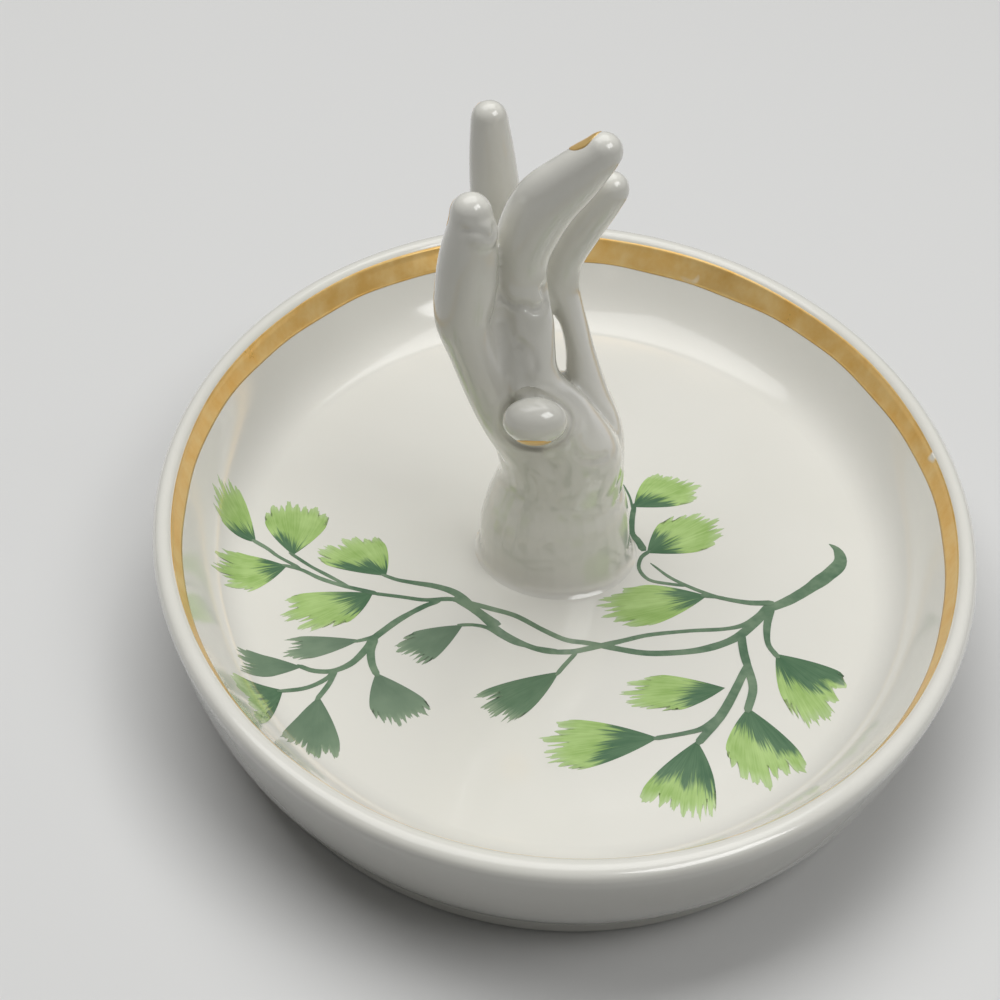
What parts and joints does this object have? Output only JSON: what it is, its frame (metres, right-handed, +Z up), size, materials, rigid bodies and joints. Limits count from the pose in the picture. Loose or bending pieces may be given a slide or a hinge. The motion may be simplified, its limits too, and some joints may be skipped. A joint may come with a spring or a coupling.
{
  "type": "ring dish",
  "caption": "Oval porcelain ring dish on a foot ring, with an upright hand whose fingers hold rings.",
  "frame": {"origin": "centre of the dish's plan, on the surface that the foot ring stands on", "axes": "+Z up, +Y along the dish's long way, away from the thumb; +X across, towards the palm side of the hand"},
  "size_m": [0.1016, 0.1306, 0.0689],
  "materials": {
    "porcelain": "clear gloss glaze over white porcelain",
    "gilding": "burnished gold"
  },
  "bodies": {
    "root": {"dish": "porcelain", "foot_ring": "porcelain", "rim_gilding": "gilding", "slip_fillet": "porcelain", "palm": "porcelain", "thumb": "porcelain", "index_finger": "porcelain", "middle_finger": "porcelain", "ring_finger": "porcelain", "little_finger": "porcelain"}
  },
  "joints": []
}
